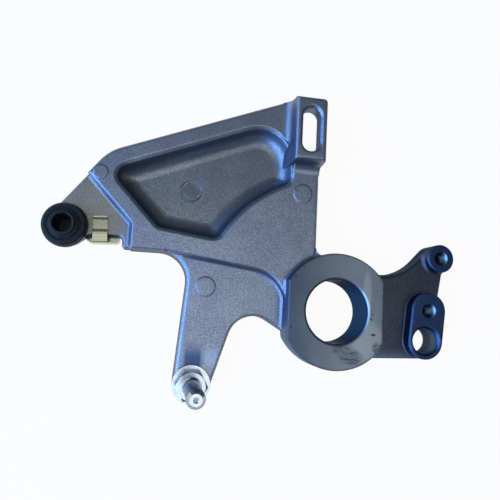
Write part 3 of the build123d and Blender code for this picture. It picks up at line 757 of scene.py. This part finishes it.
# %% Black rubber
rubber, tree, shader = new_material("black_rubber")
moulded = use_group(tree, grain, Scale=1200.0, Coarse=0.5, Detail=2.0)
edges = use_group(tree, soft_edge, Radius=0.5 * MM)
black = mix_color(tree, moulded.outputs["Specks"], (0.010, 0.011, 0.013), (0.024, 0.026, 0.030))
black = painted(tree, black, edges.outputs["Edge"], 0.5, (0.05, 0.055, 0.06))
rough = between(tree, moulded.outputs["Height"], 0.30, 0.44)
feed(tree, shader, Base_Color=black, Roughness=rough)
shader.inputs["Specular IOR Level"].default_value = 0.24
relief(tree, shader, moulded.outputs["Height"], edges, strength=0.25, distance=0.08)
dress(nodes["pin_boot"], rubber)
print("boot dressed in", rubber.name)

# %% [markdown]
# ## Spring steel
# The clip is a rolled strip with a faint straw tint from its heat treatment. A thin web of the
# same sheet closes the gap between its bent wings and the arm's low edge. The web is flat, so a
# prism on its outline is all that it needs.

# %% Spring steel
spring, tree, shader = new_material("spring_steel", metallic=1.0)
strip = use_group(tree, grain, Scale=1500.0, Coarse=0.5, Detail=3.0)
edges = use_group(tree, soft_edge, Radius=0.12 * MM)
straw = mix_color(tree, strip.outputs["Specks"], (0.45, 0.40, 0.27), (0.53, 0.47, 0.32))
straw = painted(tree, straw, edges.outputs["Edge"], 0.6, (0.75, 0.72, 0.64))
rough = between(tree, strip.outputs["Height"], 0.18, 0.28)
feed(tree, shader, Base_Color=straw, Roughness=rough)
relief(tree, shader, strip.outputs["Height"], edges, strength=0.06, distance=0.02)
dress(nodes["pad_retainer"], spring)

WEB_BACK, WEB_FRONT = 4.4, 4.9
web_low_side = [(-110.4, 25.6), (-107.0, 24.2), (-100.5, 24.6), (-96.8, 24.85)]
web_arm_side = [(-95.7, 26.5), (-95.4, 27.2), (-99.9, 27.3), (-108.4, 26.8)]
web = prism("clip_web", web_low_side + web_arm_side, WEB_BACK, WEB_FRONT)
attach(web, "root")
dress(web, spring)
print("clip dressed in", spring.name, "and web of", len(web.data.polygons), "faces")

# %% [markdown]
# ## Tools for threads and marks
# Both small holes are tapped for M6 screws, and the ejector pins of the die have left round marks.
# A thread is a helix and a raised mark is a cone's frustum, so one node tree makes each kind, with
# its sizes as inputs. Every tree ends in the same way, and its result becomes a plain mesh.

# %% Tools for geometry trees
SEAM = 0.001


def new_tree(name, **sizes):
    """A geometry tree with a place and named sizes in metres, each with its default value."""
    tree = bpy.data.node_groups.new(name, "GeometryNodeTree")
    tree.interface.new_socket("Place", in_out="INPUT", socket_type=VECTOR)
    for label, default in sizes.items():
        kind = "NodeSocketInt" if isinstance(default, int) else FLOAT
        tree.interface.new_socket(label, in_out="INPUT", socket_type=kind).default_value = default
    tree.interface.new_socket("Geometry", in_out="OUTPUT", socket_type="NodeSocketGeometry")
    return tree, tree.nodes.new("NodeGroupInput").outputs


def close_tree(tree, shape, given, material):
    """The tree's end: the shape is moved to its place, made real and given its material."""
    move = tree.nodes.new("GeometryNodeTransform")
    feed(tree, move, Geometry=shape, Translation=given["Place"])
    real = tree.nodes.new("GeometryNodeRealizeInstances")
    join(tree, move.outputs[0], real.inputs[0])
    coat = add_node(tree, "GeometryNodeSetMaterial", Material=material)
    join(tree, real.outputs[0], coat.inputs[0])
    join(tree, coat.outputs[0], tree.nodes.new("NodeGroupOutput").inputs[0])


def grow(name, tree, **values):
    """A plain mesh object grown from a geometry tree with these input values."""
    obj = add_object(name, bpy.data.meshes.new(name))
    growth = obj.modifiers.new("growth", "NODES")
    growth.node_group = tree
    for item in tree.interface.items_tree:
        if item.in_out == "INPUT" and item.name in values:
            growth[item.identifier] = values[item.name]
    data = plain_mesh(obj)
    obj.modifiers.remove(growth)
    obj.data = data
    mesh = bmesh.new()
    mesh.from_mesh(data)
    bmesh.ops.remove_doubles(mesh, verts=mesh.verts, dist=SEAM * MM)
    bmesh.ops.recalc_face_normals(mesh, faces=mesh.faces)
    mesh.to_mesh(data)
    mesh.free()
    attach(obj, "root")
    print(name, len(obj.data.polygons), "faces")


print("tree tools ready")

# %% [markdown]
# ## Threads
# The thread's ridge is a small hexagon carried along a helix, with a radius of about a third of
# the pitch. Most of it is sunk in the hole's wall, and only its crest stands out. Caps at both
# ends close it.

# %% Threads
CREST_SHARE = 0.32
thread_tree, given = new_tree("screw_thread", Radius=0.003, Pitch=0.001, Turns=8.0)
helix = add_node(thread_tree, "GeometryNodeCurveSpiral", Resolution=28)
thread_length = times(thread_tree, given["Turns"], given["Pitch"])
feed(thread_tree, helix, Rotations=given["Turns"], Height=thread_length)
feed(thread_tree, helix, Start_Radius=given["Radius"], End_Radius=given["Radius"])
crest = add_node(thread_tree, "GeometryNodeCurvePrimitiveCircle", Resolution=6)
feed(thread_tree, crest, Radius=times(thread_tree, given["Pitch"], CREST_SHARE))
ridge = add_node(thread_tree, "GeometryNodeCurveToMesh", Fill_Caps=True)
feed(thread_tree, ridge, Curve=helix.outputs[0], Profile_Curve=crest.outputs[0])
close_tree(thread_tree, ridge.outputs[0], given, cast)

for name, x, y, turns in SCREW_HOLES:
    foot = (x * MM, y * MM, SCREW_HOLE_FOOT * MM)
    grow(name, thread_tree, Place=foot, Radius=THREAD_R * MM, Pitch=SCREW_PITCH * MM, Turns=turns)

# %% [markdown]
# ## Ejector marks
# Three marks are raised discs with a sloped rim, so a cone's frustum makes each of them. Its foot
# is sunk a little in the metal, so that no gap shows.

# %% Raised marks
MARKS = (
    ("leg_mark", -56.9, 7.8, LEG_FRONT, 4.2),
    ("lug_mark", -16.1, 52.0, PLATE_FRONT, 4.2),
    ("corner_mark", -104.8, 53.5, PLATE_FRONT, 3.05),
)
SUNK, MARK_RIM, MARK_HEIGHT = 0.08, 0.22, 0.40
CIRCLE_POINTS = 72

mark_tree, given = new_tree("ejector_mark", Radius=0.004, Rim=0.0005, Height=0.0004)
disc = add_node(mark_tree, "GeometryNodeMeshCone", Vertices=CIRCLE_POINTS)
foot_radius = math_node(mark_tree, "ADD", given["Radius"], given["Rim"])
feed(mark_tree, disc, Radius_Top=given["Radius"], Radius_Bottom=foot_radius, Depth=given["Height"])
close_tree(mark_tree, disc.outputs[0], given, cast)

for name, x, y, ground, size in MARKS:
    foot = (x * MM, y * MM, (ground - SUNK) * MM)
    rim, high = MARK_RIM * MM, MARK_HEIGHT * MM
    grow(name, mark_tree, Place=foot, Radius=size * MM, Rim=rim, Height=high)

# %% [markdown]
# The mark in the pocket is a fine ring with slanted lines inside. A circle with a round profile
# makes the ring, and thin rods on the points of a line make the hatch.

# %% Pocket mark
HATCH_HALF, ROD_SHARE, HATCH_SLANT = 0.72, 1.25, 55.0
POCKET_MARK = (-65.9 * MM, 50.5 * MM, POCKET_FLOOR * MM)

ring_tree, given = new_tree("mark_ring", Radius=0.004, Bead=0.0002)
circle = add_node(ring_tree, "GeometryNodeCurvePrimitiveCircle", Resolution=CIRCLE_POINTS)
feed(ring_tree, circle, Radius=given["Radius"])
bead = add_node(ring_tree, "GeometryNodeCurvePrimitiveCircle", Resolution=8)
feed(ring_tree, bead, Radius=given["Bead"])
wire = ring_tree.nodes.new("GeometryNodeCurveToMesh")
feed(ring_tree, wire, Curve=circle.outputs[0], Profile_Curve=bead.outputs[0])
close_tree(ring_tree, wire.outputs[0], given, cast)
grow("pocket_mark_ring", ring_tree, Place=POCKET_MARK, Radius=4.75 * MM, Bead=0.20 * MM)

hatch_tree, given = new_tree("mark_hatch", Radius=0.004, Lines=9, Line=0.0001)
row = add_node(hatch_tree, "GeometryNodeMeshLine", mode="END_POINTS")
feed(hatch_tree, row, Count=given["Lines"])
for label, share in (("Start Location", -HATCH_HALF), ("Offset", HATCH_HALF)):
    row_end = hatch_tree.nodes.new("ShaderNodeCombineXYZ")
    feed(hatch_tree, row_end, Y=times(hatch_tree, given["Radius"], share))
    join(hatch_tree, row_end.outputs[0], row.inputs[label])
rod = add_node(hatch_tree, "GeometryNodeMeshCylinder", Vertices=6)
rod_length = times(hatch_tree, given["Radius"], ROD_SHARE)
feed(hatch_tree, rod, Radius=given["Line"], Depth=rod_length)
lying, slant = (0.0, math.radians(90.0), 0.0), (0.0, 0.0, math.radians(HATCH_SLANT))
rods = add_node(hatch_tree, "GeometryNodeInstanceOnPoints", Rotation=lying)
feed(hatch_tree, rods, Points=row.outputs[0], Instance=rod.outputs[0])
slanted = add_node(hatch_tree, "GeometryNodeTransform", Rotation=slant)
feed(hatch_tree, slanted, Geometry=rods.outputs[0])
close_tree(hatch_tree, slanted.outputs[0], given, cast)
grow("pocket_mark_hatch", hatch_tree, Place=POCKET_MARK, Radius=4.2 * MM, Lines=8, Line=0.11 * MM)

# %% [markdown]
# ## Floor
# The bracket lies on a plain white floor. What is seen of it, straight or mirrored in the metal,
# is nearly all its own white, so that the lamps can stay low. A share of real light keeps the
# shadow.

# %% Floor
REACH, FLOOR_GAP, OWN_WHITE = 3.0, 0.0002, 0.95
corners = [(-REACH, -REACH, 0), (REACH, -REACH, 0), (REACH, REACH, 0), (-REACH, REACH, 0)]
floor_mesh = bpy.data.meshes.new("floor")
floor_mesh.from_pydata(corners, [], [(0, 1, 2, 3)])
floor = add_object("floor", floor_mesh)
floor.location.z = cad_box[0][2] - FLOOR_GAP
paper, tree, shader = new_material("floor_white")
shader.inputs["Base Color"].default_value = (0.8, 0.8, 0.8, 1.0)
shader.inputs["Roughness"].default_value = 0.9
glow = add_node(tree, "ShaderNodeEmission", Color=(*WHITE, 1.0), Strength=1.0)
seen = tree.nodes.new("ShaderNodeLightPath").outputs
direct = math_node(tree, "ADD", seen["Is Camera Ray"], seen["Is Glossy Ray"])
direct = math_node(tree, "ADD", direct, seen["Is Transmission Ray"], clamp=True)
blend_floor = tree.nodes.new("ShaderNodeMixShader")
join(tree, times(tree, direct, OWN_WHITE), blend_floor.inputs[0])
join(tree, shader.outputs[0], blend_floor.inputs[1])
join(tree, glow.outputs[0], blend_floor.inputs[2])
feed(tree, tree.nodes["Material Output"], Surface=blend_floor.outputs[0])
dress(floor, paper)
print("floor at", round(floor.location.z, 5))

# %% [markdown]
# ## Light
# The photograph has one strong cool window low on the left, whose blue shows on every wall that
# faces it, and a soft light nearly overhead that fades to the right. The rest of the room is dim,
# and only the camera sees it pale, behind the floor's edge.

# %% Light
ROOM_TONE, ROOM_STRENGTH, SEEN_STRENGTH = (0.76, 0.86, 1.0), 0.17, 0.96
world = bpy.data.worlds.new("room")
bpy.context.scene.world = world
world.use_nodes = True
tree = world.node_tree
to_camera = tree.nodes.new("ShaderNodeLightPath").outputs["Is Camera Ray"]
room = mix_color(tree, to_camera, ROOM_TONE, WHITE)
extra = times(tree, to_camera, SEEN_STRENGTH - ROOM_STRENGTH)
strength = math_node(tree, "ADD", extra, ROOM_STRENGTH)
feed(tree, tree.nodes["Background"], Color=room, Strength=strength)


def softbox(name, place, aim, size, power, color):
    """A rectangular area lamp at a place, turned to its aim. Places and sizes in metres."""
    data = bpy.data.lights.new(name, "AREA")
    data.shape = "RECTANGLE"
    data.size, data.size_y = size
    data.energy = power
    data.color = color
    lamp = add_object(name, data)
    lamp.location = place
    lamp.rotation_euler = (Vector(place) - Vector(aim)).to_track_quat("Z", "Y").to_euler()


middle = (-0.03, 0.02, 0.0)
softbox("window", (-0.78, -0.20, 0.46), middle, (1.4, 0.75), 18.5, (0.20, 0.44, 1.0))
softbox("sky", (-0.01, -0.12, 1.0), middle, (0.75, 0.65), 2.3, (0.80, 0.90, 1.0))
bpy.context.scene.view_settings.view_transform = "Standard"
